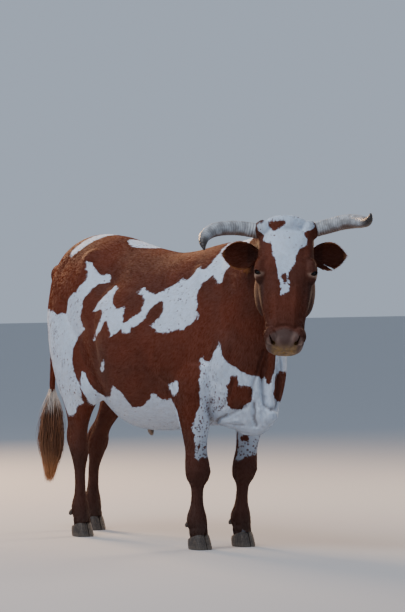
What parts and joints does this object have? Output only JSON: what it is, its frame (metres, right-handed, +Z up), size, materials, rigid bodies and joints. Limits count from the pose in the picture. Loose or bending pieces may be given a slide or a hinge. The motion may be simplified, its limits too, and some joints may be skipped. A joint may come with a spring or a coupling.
{
  "type": "nguni cattle model",
  "caption": "Life-size standing horned ox with a red and white pied coat, its head turned to its right, as a still display model.",
  "frame": {"origin": "on the ground, in the middle of the box round the whole animal", "axes": "+X forwards along the body, +Y to the animal's left, +Z up"},
  "size_m": [2.0609, 0.7195, 1.3775],
  "materials": {
    "hide": "short red-brown and white hair",
    "eye": "wet, almost black",
    "horn": "grey-white ringed horn with dark tips",
    "hoof": "dark worn horn",
    "long_hair": "long tail hair, dark inside and rust at the edge"
  },
  "bodies": {
    "root": {"torso": "hide", "neck": "hide", "head": "hide", "ear_right": "hide", "ear_left": "hide", "tail": "hide", "eye_right": "eye", "eye_left": "eye", "horn_right": "horn", "horn_left": "horn", "tail_switch": "long_hair", "sheath_tuft": "long_hair", "leg_fore_right": "hide", "claw_fore_right_outer": "hoof", "dewclaw_fore_right_outer": "hoof", "claw_fore_right_inner": "hoof", "dewclaw_fore_right_inner": "hoof", "leg_fore_left": "hide", "claw_fore_left_outer": "hoof", "dewclaw_fore_left_outer": "hoof", "claw_fore_left_inner": "hoof", "dewclaw_fore_left_inner": "hoof", "leg_hind_right": "hide", "claw_hind_right_outer": "hoof", "dewclaw_hind_right_outer": "hoof", "claw_hind_right_inner": "hoof", "dewclaw_hind_right_inner": "hoof", "leg_hind_left": "hide", "claw_hind_left_outer": "hoof", "dewclaw_hind_left_outer": "hoof", "claw_hind_left_inner": "hoof", "dewclaw_hind_left_inner": "hoof"}
  },
  "joints": []
}
